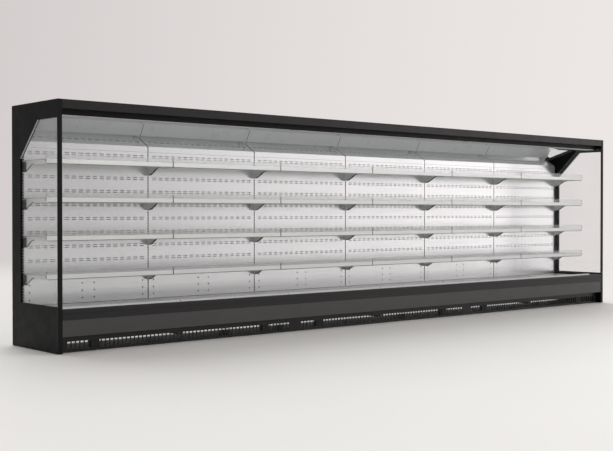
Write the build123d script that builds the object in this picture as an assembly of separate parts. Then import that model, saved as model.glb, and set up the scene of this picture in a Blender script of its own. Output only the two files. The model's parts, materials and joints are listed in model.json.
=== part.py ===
from build123d import *
import math
import os

# An open, multi-level refrigerated display line-up: modules side by side between two glazed end
# panels. The frame is X along the front, Y from front to rear and Z up; its origin is on the
# floor, under the middle of the line-up. Sizes are in millimetres.

# Layout
module_count = 3
bays_per_module = 2
bay_length = 1250.0
cabinet_depth = 820.0
cabinet_height = 2050.0
module_joint = 1.0
seat_gap = 0.3

# End panels, with a window that a diagonal cuts off at its top rear corner
end_thickness = 40.0
end_skin = 20.0
end_floor_gap = 3.0
post_depth = 12.0
post_rounding = 3.0
window_over_bumper = 18.0
window_below_top = 147.0
window_from_rear = 158.0
diagonal_run = 317.0
diagonal_drop = 305.0
glass_lap = 40.0
glass_thickness = 18.0
glass_clearance = 1.0
trim_width = 10.0
trim_gauge = 3.0

# Insulated shell
rear_wall_thickness = 55.0
roof_thickness = 50.0
tub_floor_thickness = 50.0
tub_floor_bottom = 137.0
tub_front_wall = 40.0
sheet_gauge = 3.0

# Canopy
fascia_height = 73.0
fascia_gauge = 4.0
fascia_flange = 60.0
valance_setback = 70.0
valance_gauge = 8.0
ceiling_drop = 120.0
lamp_depth = 50.0
lamp_height = 30.0
lamp_chamfer = 12.0
lamp_end_gap = 40.0
honeycomb_depth = 104.0
honeycomb_height = 28.0
cell_length = 56.0
cell_width = 26.0
cell_pitch_x = 62.0
cell_pitch_y = 32.0
mirror_break_depth = 388.0
mirror_drop = 181.0
mirror_joint = 1.0
mirror_flange = 25.0

# Back wall
air_duct_depth = 62.0
panel_to_upright_gap = 6.0
end_cover_thickness = 6.0
wall_seam_height = 580.0
wall_seam = 4.0
wall_foot_clearance = 3.0
wall_top_lap = 12.0
upright_width = 40.0
upright_gauge = 3.0
upright_top_gap = 40.0
upright_slot_width = 10.0
upright_slot_height = 15.0
upright_slot_pitch = 25.0
upright_slot_first = 405.0
air_slot_length = 46.0
air_slot_height = 12.0
air_slot_pitch = 71.0
air_row_first = 722.0
air_row_pitch = 121.5
air_row_count = 7
air_row_below_mirror = 94.0
dot_radius = 6.5
dot_pitch = 65.0
dot_above_deck = 46.0
dot_rows = 3
dot_side = 60.0

# Shelves
level_count = 4
level_pitch = 320.0
lowest_rail_centre = 603.0
shelf_depth = 420.0
shelf_rear_gap = 28.0
shelf_joint = 2.0
rail_height = 42.0
rail_gauge = 5.0
rail_corner = 28.0
riser_height = 42.0
riser_gauge = 3.0
riser_setback = 1.0
riser_corner = 18.0
board_drop = 4.0
board_gauge = 2.5
board_hem = 26.0
board_rear_hem = 14.0
bracket_gauge = 4.0
bracket_inset = 1.5
bracket_arm_rise = 2.0
bracket_root_drop = 62.0
bracket_root_length = 60.0
bracket_haunch = 105.0
bracket_rounding = 120.0
end_cover_length = 58.0
end_cover_gap = 1.0

# Deck
deck_height = 340.0
deck_gauge = 3.0
deck_front_depth = 158.0
deck_lip_height = 22.0
deck_lip_width = 30.0
deck_lip_slope = 18.0
deck_lip_flat = 6.0
deck_hem = 26.0
deck_joint = 2.0
deck_wall_clearance = 1.0
support_width = 25.0
support_height = 40.0

# Front
bumper_top = 360.0
bumper_height = 88.0
bumper_depth = 35.0
bumper_rounding = 9.0
groove_below_top = 38.0
groove_width = 6.0
groove_depth = 4.0
front_panel_setback = 4.0
front_panel_gauge = 2.0
grille_below_deck = 5.0
grille_gauge = 3.0
grille_slot_length = 70.0
grille_slot_width = 10.0
grille_slot_pitch = 20.0
grille_slot_start = 80.0
kick_setback = 67.0
kick_gauge = 3.0
kick_floor_gap = 4.0
kick_top_clearance = 1.0
kick_slot_width = 28.0
kick_slot_pitch = 40.0
kick_slot_low = 24.0
kick_slot_high = 88.0
kick_slot_margin = 55.0
kick_clip_width = 30.0
kick_clip_height = 20.0
kick_clip_gap = 1.0

# Chassis
rail_section = 40.0
front_rail_depth = 95.0
rear_rail_from_rear = 95.0
leg_from_module_end = 345.0
leg_width = 80.0
leg_depth = 50.0
foot_pad_radius = 30.0
foot_pad_height = 10.0
foot_pad_rounding = 3.0
foot_stud_radius = 8.0
foot_stud_clearance = 0.3
foot_stud_top = 53.0
foot_travel = 15.0
leg_bottom = 22.0

# Cooling
fan_plate_angle = 45.0
fan_depth = 320.0
fan_plate_top_gap = 4.6
fan_orifice_radius = 80.0
rotor_radius = 74.0
rotor_thickness = 28.0
hub_radius = 26.0
blade_count = 5
blade_chord = 44.0
blade_gauge = 2.5
blade_pitch_angle = 28.0
motor_radius = 30.0
motor_length = 40.0
motor_arm_width = 8.0
motor_arm_gauge = 3.0
motor_arm_reach = 94.0
motor_shaft_radius = 5.0
motor_gap = 4.0
motor_arm_count = 3
coil_length = 2100.0
coil_behind_fan = 110.0
coil_from_wall = 53.0
coil_height = 95.0
coil_end_gauge = 3.0
coil_floor_gap = 5.0
bend_radius = 14.0
bend_tube_radius = 5.0
bend_columns = 4
bend_rows = 2
line_from_wall = 13.0
line_end_gap = 5.0
stub_from_coil_end = 60.0
suction_radius = 11.0
suction_above_tub = 28.0
liquid_radius = 6.0
liquid_above_tub = 61.0
valve_radius = 16.0
valve_length = 60.0
stub_share = 0.8
drain_radius = 20.0
drain_wall = 3.0
drain_flange_radius = 32.0
drain_flange_gauge = 3.0
drain_run_height = 70.0
drain_depth = 165.0
drain_outlet_from_rear = 120.0
control_length = 320.0
control_depth = 46.0
control_height = 40.0
control_from_end = 200.0
control_rounding = 3.0

# Values that follow
bay_count = module_count * bays_per_module
module_length = bays_per_module * bay_length
inner_length = module_count * module_length
inner_left = -inner_length / 2
inner_right = inner_length / 2
overall_length = inner_length + 2 * end_thickness
front_y = -cabinet_depth / 2
rear_wall_depth = cabinet_depth - rear_wall_thickness
tub_floor_top = tub_floor_bottom + tub_floor_thickness
roof_bottom = cabinet_height - roof_thickness
fascia_bottom = cabinet_height - fascia_height
ceiling_height = cabinet_height - ceiling_drop
mirror_foot_height = ceiling_height - mirror_drop
window_bottom = bumper_top + window_over_bumper
window_top = cabinet_height - window_below_top
window_rear = cabinet_depth - window_from_rear
wall_depth = rear_wall_depth - air_duct_depth
shelf_front = wall_depth - shelf_depth
shelf_rear = wall_depth - shelf_rear_gap
upright_face = wall_depth + sheet_gauge
bumper_bottom = bumper_top - bumper_height
tub_front_top = deck_height - grille_below_deck
rear_rail_depth = cabinet_depth - rear_rail_from_rear
deck_underside = deck_height - deck_gauge
fan_slope = math.radians(fan_plate_angle)
fan_height = (tub_floor_top + deck_underside) / 2
coil_front = fan_depth + coil_behind_fan
coil_depth = wall_depth - coil_from_wall - coil_front
line_depth = wall_depth - line_from_wall
suction_height = tub_floor_top + suction_above_tub
liquid_height = tub_floor_top + liquid_above_tub


def bay_line(index):
    """X of a line between two bays, from 0 at the left end to bay_count at the right end."""
    return inner_left + index * bay_length


def module_span(index):
    """Lowest and highest X of a module's pieces, half a joint inside its neighbours."""
    low = inner_left + index * module_length
    return low + module_joint / 2, low + module_length - module_joint / 2


def block(x_low, x_high, depth_low, depth_high, z_low, z_high):
    """Box between two X values, two depths behind the front, and two heights."""
    size = Box(x_high - x_low, depth_high - depth_low, z_high - z_low)
    middle = ((x_low + x_high) / 2, front_y + (depth_low + depth_high) / 2, (z_low + z_high) / 2)
    return Pos(*middle) * size


def section(outline, x_low, x_high):
    """Solid with a closed outline of (depth behind the front, height) points, along X."""
    points = [(front_y + depth, height) for depth, height in outline]
    face = make_face(Plane.YZ.offset(x_low) * Polyline(*points, close=True))
    return extrude(face, amount=x_high - x_low, dir=(1, 0, 0))


def folded(path, gauge):
    """Closed outline of a sheet folded along a path, with its gauge to the left of the path."""
    ways = []
    for (y0, z0), (y1, z1) in zip(path, path[1:]):
        length = math.hypot(y1 - y0, z1 - z0)
        ways.append(((y1 - y0) / length, (z1 - z0) / length))
    other_side = []
    for index, (y, z) in enumerate(path):
        before = ways[max(index - 1, 0)]
        after = ways[min(index, len(ways) - 1)]
        share = gauge / (1 + before[0] * after[0] + before[1] * after[1])
        other_side.append((y - share * (before[1] + after[1]), z + share * (before[0] + after[0])))
    return path + other_side[::-1]


def rectangle_at(x, depth, z, length, height):
    """Upright rectangular wire, centred on x and z, at a depth behind the front."""
    y = front_y + depth
    corners = [(x - length / 2, y, z - height / 2), (x + length / 2, y, z - height / 2),
               (x + length / 2, y, z + height / 2), (x - length / 2, y, z + height / 2)]
    return Wire.make_polygon([Vector(*corner) for corner in corners], close=True)


def flat_rectangle_at(x, depth, z, length, width):
    """Level rectangular wire, centred on x and a depth behind the front, at a height."""
    y = front_y + depth
    corners = [(x - length / 2, y - width / 2, z), (x + length / 2, y - width / 2, z),
               (x + length / 2, y + width / 2, z), (x - length / 2, y + width / 2, z)]
    return Wire.make_polygon([Vector(*corner) for corner in corners], close=True)


def circle_at(x, depth, z, radius):
    """Upright circular wire at a depth behind the front."""
    return Wire.make_circle(radius, Plane(origin=(x, front_y + depth, z), z_dir=(0, 1, 0)))


def pierced(outer, holes, thickness, way):
    """Sheet of a thickness along way, with an outer wire and the wires of its holes."""
    return Solid.extrude(Face(outer, holes), Vector(*way) * thickness)


def spread(count, pitch):
    """Offsets of evenly pitched copies about their middle."""
    return [(index - (count - 1) / 2) * pitch for index in range(count)]


def mirrored_x(solid):
    """The same piece at the other end of the line-up."""
    return mirror(solid, Plane.YZ)


def keep(node, solids):
    """Write a node's solids to its own file."""
    export_step(Compound(children=list(solids)), f"parts/{node}.step")


# ---- end panels ----

def window_outline(lap, front_depth):
    """Window outline, grown by a lap on all sides but the front."""
    slope = math.atan2(diagonal_drop, diagonal_run)
    top_shift = lap * math.tan(slope / 2)
    foot_shift = lap * math.tan((math.pi / 2 - slope) / 2)
    return [(front_depth, window_bottom - lap), (window_rear + lap, window_bottom - lap),
            (window_rear + lap, window_top - diagonal_drop + foot_shift),
            (window_rear - diagonal_run + top_shift, window_top + lap), (front_depth, window_top + lap)]


def end_layer(lap, x_low, x_high):
    """One layer of the end panel: the full side with the window open to the front."""
    outline = [(post_depth, end_floor_gap), (cabinet_depth, end_floor_gap),
               (cabinet_depth, cabinet_height), (post_depth, cabinet_height)]
    window = window_outline(lap, post_depth)
    return section(outline + window[::-1], x_low, x_high)


def left_end_frame():
    outer_face = inner_left - end_thickness
    skin = end_layer(0, outer_face, outer_face + end_skin)
    rebate = end_layer(glass_lap, outer_face + end_skin, inner_left)
    return skin + rebate


def left_end_glass():
    pane_face = inner_left - end_thickness + end_skin
    outline = window_outline(glass_lap - glass_clearance, post_depth)
    return section(outline, pane_face, pane_face + glass_thickness)


def left_glass_trim():
    """Strip along the diagonal of the window, in the outer edge of the opening."""
    top = (window_rear - diagonal_run, window_top)
    foot = (window_rear, window_top - diagonal_drop)
    outer_face = inner_left - end_thickness
    return section(folded([top, foot], -trim_gauge), outer_face, outer_face + trim_width)


def left_front_post():
    outer_face = inner_left - end_thickness
    post = block(outer_face, inner_left, 0, post_depth, end_floor_gap, cabinet_height)
    front_edges = post.edges().filter_by(Axis.Z).sort_by(Axis.Y)[:2]
    return fillet(front_edges, post_rounding)


# ---- insulated shell ----

def rear_panel(module):
    low, high = module_span(module)
    return block(low, high, rear_wall_depth, cabinet_depth, tub_floor_bottom, roof_bottom)


def roof_panel(module):
    low, high = module_span(module)
    return block(low, high, fascia_flange, cabinet_depth, roof_bottom, cabinet_height)


def base_tub(module):
    low, high = module_span(module)
    inner_front = bumper_depth + tub_front_wall
    outline = [(bumper_depth, tub_floor_bottom), (rear_wall_depth, tub_floor_bottom),
               (rear_wall_depth, tub_floor_top), (inner_front, tub_floor_top),
               (inner_front, tub_front_top), (bumper_depth, tub_front_top)]
    tub = section(outline, low, high)
    centre = ((low + high) / 2, front_y + drain_depth, tub_floor_bottom + tub_floor_thickness / 2)
    return tub - Pos(*centre) * Cylinder(drain_radius + seat_gap, 2 * tub_floor_thickness)


# ---- canopy ----

def fascia(module):
    low, high = module_span(module)
    path = [(fascia_flange, cabinet_height), (0, cabinet_height), (0, fascia_bottom),
            (valance_setback, fascia_bottom)]
    return section(folded(path, fascia_gauge), low, high)


def valance(module):
    low, high = module_span(module)
    top = fascia_bottom + fascia_gauge
    return block(low, high, valance_setback, valance_setback + valance_gauge, ceiling_height, top)


def light_bar(module):
    low, high = module_span(module)
    front = valance_setback + valance_gauge
    rear = front + lamp_depth
    top = ceiling_height + lamp_height
    outline = [(front, ceiling_height + lamp_chamfer), (front + lamp_chamfer, ceiling_height),
               (rear - lamp_chamfer, ceiling_height), (rear, ceiling_height + lamp_chamfer),
               (rear, top), (front, top)]
    return section(outline, low + lamp_end_gap, high - lamp_end_gap)


def honeycomb(bay):
    low = bay_line(bay) + module_joint / 2
    high = bay_line(bay + 1) - module_joint / 2
    front = valance_setback + valance_gauge + lamp_depth
    middle_x = (low + high) / 2
    middle_depth = front + honeycomb_depth / 2
    across = int((high - low) // cell_pitch_x)
    rows = int(honeycomb_depth // cell_pitch_y)
    cells = [flat_rectangle_at(middle_x + dx, middle_depth + dy, ceiling_height, cell_length, cell_width)
             for dx in spread(across, cell_pitch_x) for dy in spread(rows, cell_pitch_y)]
    frame = flat_rectangle_at(middle_x, middle_depth, ceiling_height, high - low, honeycomb_depth)
    return pierced(frame, cells, honeycomb_height, (0, 0, 1))


def mirror_panel(bay):
    """Polished sheet: a level strip behind the air outlet, then a slope down to the back wall."""
    front = valance_setback + valance_gauge + lamp_depth + honeycomb_depth
    foot = wall_depth - sheet_gauge / 2 - seat_gap
    path = [(front, ceiling_height + mirror_flange), (front, ceiling_height),
            (mirror_break_depth, ceiling_height), (foot, mirror_foot_height)]
    low = bay_line(bay) + mirror_joint / 2
    high = bay_line(bay + 1) - mirror_joint / 2
    return section(folded(path, sheet_gauge), low, high)


def control_box():
    high = inner_right - control_from_end
    middle = (fascia_bottom + fascia_gauge + cabinet_height - fascia_gauge) / 2
    box = block(high - control_length, high, fascia_flange - control_depth, fascia_flange,
                middle - control_height / 2, middle + control_height / 2)
    return fillet(box.edges().filter_by(Axis.X), control_rounding)


# ---- back wall ----

def panel_ends(bay):
    """X span of a back panel, clear of the slotted strip of the uprights."""
    low = bay_line(bay) + panel_to_upright_gap
    high = bay_line(bay + 1) - panel_to_upright_gap
    if bay == 0:
        low += end_cover_thickness
    if bay == bay_count - 1:
        high -= end_cover_thickness
    return low, high


def back_panel(bay):
    low, high = panel_ends(bay)
    bottom = wall_seam_height + wall_seam / 2
    top = mirror_foot_height + wall_top_lap
    middle = (bay_line(bay) + bay_line(bay + 1)) / 2
    rows = [air_row_first + index * air_row_pitch for index in range(air_row_count)]
    rows.append(mirror_foot_height - air_row_below_mirror)
    columns = int((high - low - air_slot_length) // air_slot_pitch)
    slots = [rectangle_at(middle + dx, wall_depth, row, air_slot_length, air_slot_height)
             for row in rows for dx in spread(columns, air_slot_pitch)]
    outer = rectangle_at((low + high) / 2, wall_depth, (bottom + top) / 2, high - low, top - bottom)
    return pierced(outer, slots, sheet_gauge, (0, 1, 0))


def lower_back_panel(bay):
    low, high = panel_ends(bay)
    bottom = deck_height + wall_foot_clearance
    top = wall_seam_height - wall_seam / 2
    middle = (bay_line(bay) + bay_line(bay + 1)) / 2
    columns = [bay_line(bay) + dot_side, middle - dot_side, middle + dot_side,
               bay_line(bay + 1) - dot_side]
    first = deck_height + dot_above_deck
    dots = [circle_at(x, wall_depth, first + row * dot_pitch, dot_radius)
            for x in columns for row in range(dot_rows)]
    outer = rectangle_at((low + high) / 2, wall_depth, (bottom + top) / 2, high - low, top - bottom)
    return pierced(outer, dots, sheet_gauge, (0, 1, 0))


def upright(index):
    """Channel behind a bay line, with a column of slots in the face that the brackets meet."""
    x = bay_line(index)
    low = max(x - upright_width / 2, inner_left)
    high = min(x + upright_width / 2, inner_right)
    top = roof_bottom - upright_top_gap
    channel = block(low, high, upright_face, rear_wall_depth, tub_floor_top, top)
    hollow = block(low + upright_gauge, high - upright_gauge, upright_face + upright_gauge,
                   rear_wall_depth, tub_floor_top, top)
    margin = upright_gauge + upright_slot_width / 2
    middle = min(max(x, low + margin), high - margin)
    count = int((mirror_foot_height - upright_slot_first) // upright_slot_pitch)
    feet = [upright_slot_first + row * upright_slot_pitch for row in range(count)]
    slots = [block(middle - upright_slot_width / 2, middle + upright_slot_width / 2, wall_depth,
                   upright_face + 2 * upright_gauge, foot, foot + upright_slot_height)
             for foot in feet]
    return channel - hollow - slots


# ---- shelves ----

def rail_centre(level):
    return lowest_rail_centre + (level - 1) * level_pitch


def shelf_span(bay):
    return bay_line(bay) + shelf_joint / 2, bay_line(bay + 1) - shelf_joint / 2


def board_top(level):
    return rail_centre(level) + rail_height / 2 - board_drop


def shelf_board(level, bay):
    """Sheet with a hem down at its front and rear, which leaves a gap for air before the wall."""
    low, high = shelf_span(bay)
    top = board_top(level)
    front = shelf_front + rail_gauge
    path = [(front, top - board_hem), (front, top), (shelf_rear, top), (shelf_rear, top - board_rear_hem)]
    return section(folded(path, -board_gauge), low, high)


def bracket_places(bay):
    """Lowest X of a bay's two brackets; the end brackets stand off by their cover."""
    left = bay_line(bay) + bracket_inset
    right = bay_line(bay + 1) - bracket_inset - bracket_gauge
    if bay == 0:
        left += end_cover_thickness
    if bay == bay_count - 1:
        right -= end_cover_thickness
    return left, right


def bracket_arm_bottom(level):
    return rail_centre(level) - rail_height / 2 + bracket_arm_rise


def bracket(level, x_low):
    """Cantilever plate under a board: deep at its root, then a soft haunch, then a slim arm."""
    top = board_top(level) - board_gauge
    arm_bottom = bracket_arm_bottom(level)
    root_bottom = arm_bottom - bracket_root_drop
    root = upright_face - seat_gap
    hem_face = shelf_rear - board_gauge
    front = shelf_front + rail_gauge + board_gauge
    outline = [(root, root_bottom), (root, top - board_rear_hem), (hem_face, top - board_rear_hem),
               (hem_face, top), (front, top), (front, arm_bottom),
               (root - bracket_root_length - bracket_haunch, arm_bottom),
               (root - bracket_root_length, root_bottom)]
    plate = section(outline, x_low, x_low + bracket_gauge)
    low_edges = plate.edges().filter_by(Axis.X).filter_by_position(Axis.Z, root_bottom, arm_bottom)
    return fillet(low_edges.sort_by(Axis.Y)[1:-1], bracket_rounding)


def end_bracket_cover(level):
    """Plate on the outer side of the root of the left end's bracket."""
    bracket_face = bracket_places(0)[0]
    top = board_top(level) - board_rear_hem - seat_gap
    bottom = bracket_arm_bottom(level) - bracket_root_drop
    rear = wall_depth - seat_gap
    return block(inner_left + end_cover_gap, bracket_face, rear - end_cover_length, rear, bottom, top)


def price_rail(level, bay):
    low, high = shelf_span(bay)
    middle = rail_centre(level)
    rail = block(low, high, shelf_front, shelf_front + rail_gauge,
                 middle - rail_height / 2, middle + rail_height / 2)
    low_corners = rail.edges().filter_by(Axis.Y).group_by(Axis.Z)[0].sort_by(Axis.X)
    if bay == 0:
        rail = fillet(low_corners[0], rail_corner)
    if bay == bay_count - 1:
        rail = fillet(low_corners[-1], rail_corner)
    return rail


def riser(level, bay):
    low, high = shelf_span(bay)
    bottom = rail_centre(level) + rail_height / 2
    face = shelf_front + riser_setback
    plate = block(low + shelf_joint, high - shelf_joint, face, face + riser_gauge,
                  bottom, bottom + riser_height)
    return fillet(plate.edges().filter_by(Axis.Y).group_by(Axis.Z)[-1], riser_corner)


# ---- deck ----

def deck_tray(bay):
    low = bay_line(bay) + deck_joint / 2
    high = bay_line(bay + 1) - deck_joint / 2
    lip_rear = deck_front_depth + deck_lip_width
    crest = deck_front_depth + deck_lip_slope
    crest_height = deck_height + deck_lip_height
    path = [(deck_front_depth, deck_height - deck_hem), (deck_front_depth, deck_height),
            (crest, crest_height), (crest + deck_lip_flat, crest_height),
            (lip_rear, deck_height), (wall_depth - deck_wall_clearance, deck_height)]
    return section(folded(path, -deck_gauge), low, high)


def deck_support(index):
    """Bar under the joint of two deck trays, from the front wall of the tub to the upright."""
    x = bay_line(index)
    low = max(x - support_width / 2, inner_left)
    high = min(x + support_width / 2, inner_right)
    top = deck_underside - seat_gap
    step = deck_height - deck_hem - seat_gap
    front = bumper_depth + tub_front_wall
    step_depth = deck_front_depth + deck_lip_width
    outline = [(front, top - support_height), (upright_face, top - support_height),
               (upright_face, top), (step_depth, top), (step_depth, step), (front, step)]
    return section(outline, low, high)


# ---- front ----

def bumper_rail(module):
    low, high = module_span(module)
    groove_top = bumper_top - groove_below_top + groove_width / 2
    groove_foot = groove_top - groove_width
    outline = [(0, bumper_bottom), (bumper_depth, bumper_bottom), (bumper_depth, bumper_top),
               (0, bumper_top), (0, groove_top), (groove_depth, groove_top),
               (groove_depth, groove_foot), (0, groove_foot)]
    rail = section(outline, low, high)
    nose = rail.edges().filter_by(Axis.X).group_by(Axis.Z)[-1].sort_by(Axis.Y)[0]
    return fillet(nose, bumper_rounding)


def front_panel(module):
    low, high = module_span(module)
    top = bumper_bottom - module_joint
    path = [(bumper_depth, top), (front_panel_setback, top),
            (front_panel_setback, tub_floor_bottom), (bumper_depth, tub_floor_bottom)]
    return section(folded(path, front_panel_gauge), low, high)


def return_grille(module):
    low, high = module_span(module)
    rear = deck_front_depth - module_joint
    front = bumper_depth + module_joint
    middle_x = (low + high) / 2
    count = int((high - low - 2 * grille_slot_pitch) // grille_slot_pitch)
    slot_middle = grille_slot_start + grille_slot_length / 2
    slots = [flat_rectangle_at(middle_x + dx, slot_middle, tub_front_top, grille_slot_width,
                               grille_slot_length)
             for dx in spread(count, grille_slot_pitch)]
    outer = flat_rectangle_at(middle_x, (front + rear) / 2, tub_front_top, high - low, rear - front)
    return pierced(outer, slots, grille_gauge, (0, 0, 1))


def kick_plate(module):
    """Slotted sheet with a clip on its rear for each front leg."""
    low, high = module_span(module)
    top = tub_floor_bottom - kick_top_clearance
    middle_x = (low + high) / 2
    count = int((high - low - 2 * kick_slot_margin) // kick_slot_pitch)
    slots = [rectangle_at(middle_x + dx, kick_setback, (kick_slot_low + kick_slot_high) / 2,
                          kick_slot_width, kick_slot_high - kick_slot_low)
             for dx in spread(count, kick_slot_pitch)]
    outer = rectangle_at(middle_x, kick_setback, (kick_floor_gap + top) / 2, high - low,
                         top - kick_floor_gap)
    plate = pierced(outer, slots, kick_gauge, (0, 1, 0))
    clip_rear = front_rail_depth - (leg_depth - rail_section) / 2 - seat_gap
    clip_foot = kick_slot_high + kick_clip_gap
    clips = [block(x - kick_clip_width / 2, x + kick_clip_width / 2, kick_setback + kick_gauge,
                   clip_rear, clip_foot, clip_foot + kick_clip_height)
             for x in leg_places(module)]
    return Part() + plate + clips


# ---- chassis ----

def leg_places(module):
    low = inner_left + module * module_length
    return low + leg_from_module_end, low + module_length - leg_from_module_end


def chassis_rails(module):
    low, high = module_span(module)
    bottom = tub_floor_bottom - rail_section
    rails = [block(low, high, depth, depth + rail_section, bottom, tub_floor_bottom)
             for depth in (front_rail_depth, rear_rail_depth)]
    cross = [block(x - rail_section / 2, x + rail_section / 2, front_rail_depth + rail_section,
                   rear_rail_depth, bottom, tub_floor_bottom)
             for x in leg_places(module)]
    return rails + cross


def leg_centres():
    """(X, depth) of every leg."""
    depths = [front_rail_depth + rail_section / 2, rear_rail_depth + rail_section / 2]
    return [(x, depth) for module in range(module_count) for x in leg_places(module) for depth in depths]


def leg(x, depth):
    post = block(x - leg_width / 2, x + leg_width / 2, depth - leg_depth / 2, depth + leg_depth / 2,
                 leg_bottom, tub_floor_bottom - rail_section)
    bore_top = foot_stud_top + foot_travel
    bore = Cylinder(foot_stud_radius + foot_stud_clearance, bore_top)
    return post - Pos(x, front_y + depth, bore_top / 2) * bore


def levelling_foot(x, depth):
    pad = Pos(0, 0, foot_pad_height / 2) * Cylinder(foot_pad_radius, foot_pad_height)
    pad = fillet(pad.edges().sort_by(Axis.Z)[-1], foot_pad_rounding)
    stud_length = foot_stud_top - foot_pad_height
    stud = Pos(0, 0, foot_pad_height + stud_length / 2) * Cylinder(foot_stud_radius, stud_length)
    return Pos(x, front_y + depth, 0) * (pad + stud)


# ---- cooling ----

def fan_plane(bay):
    """Plane of a bay's fan plate: local Y runs up the slope and local Z down to the coil."""
    x = (bay_line(bay) + bay_line(bay + 1)) / 2
    along = (0, math.sin(fan_slope), -math.cos(fan_slope))
    return Plane(origin=(x, front_y + fan_depth, fan_height), x_dir=(-1, 0, 0), z_dir=along)


def fan_plate(bay):
    length = bay_length - support_width - 2 * module_joint
    corner = sheet_gauge / 2 * math.cos(fan_slope)
    below = (fan_height - tub_floor_top - seat_gap - corner) / math.sin(fan_slope)
    above = (deck_underside - fan_height - fan_plate_top_gap - corner) / math.sin(fan_slope)
    plate = Pos(0, (above - below) / 2, 0) * Box(length, below + above, sheet_gauge)
    plate -= Cylinder(fan_orifice_radius, 2 * sheet_gauge)
    return fan_plane(bay) * plate


def fan_motor(bay):
    """Motor behind the rotor, carried by three arms on posts that stand on the plate."""
    arm_face = rotor_thickness / 2 + motor_gap
    body = Pos(0, 0, arm_face + motor_length / 2) * Cylinder(motor_radius, motor_length)
    shaft_end = rotor_thickness / 2 + seat_gap
    shaft = Pos(0, 0, (shaft_end + arm_face) / 2) * Cylinder(motor_shaft_radius, arm_face - shaft_end)
    motor = body + shaft
    arm = Pos(motor_arm_reach / 2, 0, arm_face + motor_arm_gauge / 2) * Box(
        motor_arm_reach, motor_arm_width, motor_arm_gauge)
    post_height = arm_face - sheet_gauge / 2
    post = Pos(motor_arm_reach - motor_arm_width / 2, 0, sheet_gauge / 2 + post_height / 2) * Box(
        motor_arm_width, motor_arm_width, post_height)
    for turn in range(motor_arm_count):
        motor += Rot(0, 0, 90 + turn * 360 / motor_arm_count) * (arm + post)
    return fan_plane(bay) * motor


def fan_rotor(bay):
    rotor = Cylinder(hub_radius, rotor_thickness)
    root = hub_radius / 2
    blade = Rot(blade_pitch_angle, 0, 0) * Box(rotor_radius - root, blade_chord, blade_gauge)
    for turn in range(blade_count):
        rotor += Rot(0, 0, turn * 360 / blade_count) * Pos((rotor_radius + root) / 2, 0, 0) * blade
    rotor = rotor & Cylinder(rotor_radius, rotor_thickness)
    return fan_plane(bay) * rotor


def return_bends(face, side, middle_height):
    """Half rings that stand out of one end plate of a coil, to the left (-1) or right (1)."""
    ring = Rot(0, 90, 0) * Rot(90, 0, 0) * Torus(bend_radius, bend_tube_radius)
    far = face + side * 2 * (bend_radius + bend_tube_radius)
    outside = block(min(face, far), max(face, far), 0, cabinet_depth, 0, cabinet_height)
    middle_y = front_y + coil_front + coil_depth / 2
    places = [Pos(face, middle_y + dy, middle_height + dz)
              for dy in spread(bend_columns, coil_depth / bend_columns)
              for dz in spread(bend_rows, coil_height / bend_rows)]
    return [(place * ring) & outside for place in places]


def evaporator_coil(module):
    low, high = module_span(module)
    middle = (low + high) / 2
    bottom = tub_floor_top + coil_floor_gap
    left = middle - coil_length / 2
    right = middle + coil_length / 2
    pack = block(left, right, coil_front, coil_front + coil_depth, bottom, bottom + coil_height)
    for face in (left - coil_end_gauge, right):
        pack += block(face, face + coil_end_gauge, coil_front, coil_front + coil_depth,
                      tub_floor_top, bottom + coil_height + coil_floor_gap)
    middle_height = bottom + coil_height / 2
    for bend in return_bends(left - coil_end_gauge, -1, middle_height):
        pack += bend
    for bend in return_bends(right + coil_end_gauge, 1, middle_height):
        pack += bend
    return pack


def refrigerant_lines():
    """Suction and liquid lines along the tub, with a stub and a valve to each coil."""
    low = inner_left + line_end_gap
    high = inner_right - leg_from_module_end
    reach = line_depth - coil_front - coil_depth
    middle = (low + high) / 2
    solids = []
    for radius, height in ((suction_radius, suction_height), (liquid_radius, liquid_height)):
        line = Pos(middle, front_y + line_depth, height) * Rot(0, 90, 0) * Cylinder(radius, high - low)
        for module in range(module_count):
            start, end = module_span(module)
            coil_end = (start + end - coil_length) / 2
            x = coil_end + stub_from_coil_end + height - suction_height
            stub = Rot(90, 0, 0) * Cylinder(stub_share * radius, reach)
            line += Pos(x, front_y + line_depth - reach / 2, height) * stub
            if radius == liquid_radius:
                valve = Cylinder(valve_radius, valve_length)
                line += Pos(x, front_y + line_depth - reach / 2, height) * valve
        solids.append(line)
    return solids


def drain_pipes(module):
    """Flanged spigot in the floor of the tub, and below it an elbow with a run to the rear."""
    low, high = module_span(module)
    x = (low + high) / 2
    top = tub_floor_top + drain_flange_gauge
    elbow_top = drain_run_height + drain_radius
    drop = tub_floor_top - elbow_top
    run = cabinet_depth - drain_outlet_from_rear - drain_depth
    flange = Pos(0, 0, tub_floor_top + drain_flange_gauge / 2) * Cylinder(
        drain_flange_radius, drain_flange_gauge)
    spigot = Pos(0, 0, elbow_top + drop / 2) * Cylinder(drain_radius, drop)
    elbow = Pos(0, 0, drain_run_height) * Sphere(drain_radius)
    elbow += Pos(0, 0, drain_run_height + drain_radius / 2) * Cylinder(drain_radius, drain_radius)
    pipe = Pos(0, run / 2, drain_run_height) * Rot(90, 0, 0) * Cylinder(drain_radius, run)
    bore_radius = drain_radius - drain_wall
    bore = Pos(0, 0, (drain_run_height + top) / 2) * Cylinder(bore_radius, top - drain_run_height)
    bore += Pos(0, 0, drain_run_height) * Sphere(bore_radius)
    bore += Pos(0, run / 2, drain_run_height) * Rot(90, 0, 0) * Cylinder(bore_radius, run)
    place = Pos(x, front_y + drain_depth, 0)
    return [place * (flange + spigot - bore), place * (elbow + pipe - bore)]


# ---- write every node ----

os.makedirs("parts", exist_ok=True)
modules = range(module_count)
bays = range(bay_count)
levels = range(1, level_count + 1)

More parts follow.
